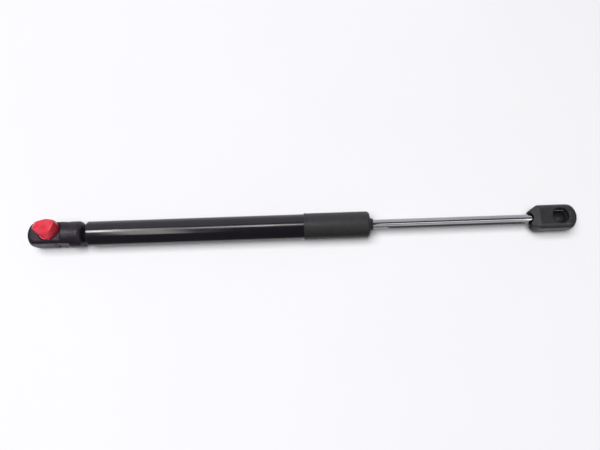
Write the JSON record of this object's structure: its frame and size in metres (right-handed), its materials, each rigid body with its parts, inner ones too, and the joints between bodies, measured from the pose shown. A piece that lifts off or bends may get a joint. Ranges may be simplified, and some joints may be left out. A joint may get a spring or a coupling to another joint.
{
  "type": "gas strut stay",
  "caption": "Slim gas strut stay for windows, lids and shutters: round tube with a protective sleeve, sliding rod, and a ball socket with a wire clip at each end.",
  "frame": {"origin": "centre of the ball in the tube fitting's socket", "axes": "+X along the strut from the tube fitting to the rod fitting, +Z out of the mouths of both sockets, +Y completes a right-handed set"},
  "size_m": [0.4816, 0.0236, 0.0316],
  "materials": {
    "tube_paint": "gloss black enamel",
    "fitting_paint": "semi-gloss black coating",
    "sleeve_plastic": "satin black",
    "rod_fitting_plastic": "satin dark grey, glass-filled",
    "plug_plastic": "soft red, semi-gloss",
    "rod_steel": "hard chromed and polished",
    "spring_wire": "blackened spring wire",
    "zinc_steel": "zinc plated",
    "guide_brass": "machined",
    "black_rubber": "matt",
    "bumper_rubber": "matt",
    "ring_plastic": "waxy off-white",
    "piston_metal": "machined"
  },
  "bodies": {
    "cylinder": {"pressure_tube": "tube_paint", "base_stud": "zinc_steel", "tube_fitting": "fitting_paint", "protective_sleeve": "sleeve_plastic", "rod_guide": "guide_brass", "guide_o_ring": "black_rubber", "rod_wiper": "black_rubber", "rod_seal": "black_rubber", "seal_washer": "zinc_steel", "snap_ring": "zinc_steel", "stop_bumper": "bumper_rubber"},
    "tube_clip_wire": {"tube_clip": "spring_wire"},
    "plug": {"transport_plug": "plug_plastic"},
    "sliding_ring": {"piston_ring": "ring_plastic"},
    "rod": {"piston_rod": "rod_steel", "piston": "piston_metal", "piston_front_washer": "zinc_steel", "piston_rear_washer": "zinc_steel", "piston_nut": "zinc_steel", "rod_fitting": "rod_fitting_plastic"},
    "rod_clip_wire": {"rod_clip": "spring_wire"}
  },
  "joints": [
    {"name": "rod_slide", "type": "slide", "parent": "cylinder", "child": "sliding_ring", "axis": [1, 0, 0], "range_m": [-0.13, 0], "stiffness_N_per_m": 154, "springref_m": 0.65},
    {"name": "rod_spin", "type": "hinge", "parent": "sliding_ring", "child": "rod", "pos_m": [0.3, 0, 0], "axis": [1, 0, 0], "continuous": true},
    {"name": "tube_clip_release", "type": "slide", "parent": "cylinder", "child": "tube_clip_wire", "axis": [1, 0, 0], "range_m": [0, 0.002], "stiffness_N_per_m": 1500},
    {"name": "rod_clip_release", "type": "slide", "parent": "rod", "child": "rod_clip_wire", "axis": [0, 1, 0], "range_m": [0, 0.002], "stiffness_N_per_m": 1500},
    {"name": "plug_lift", "type": "slide", "parent": "cylinder", "child": "plug", "axis": [0, 0, 1], "range_m": [0, 0.04]}
  ]
}
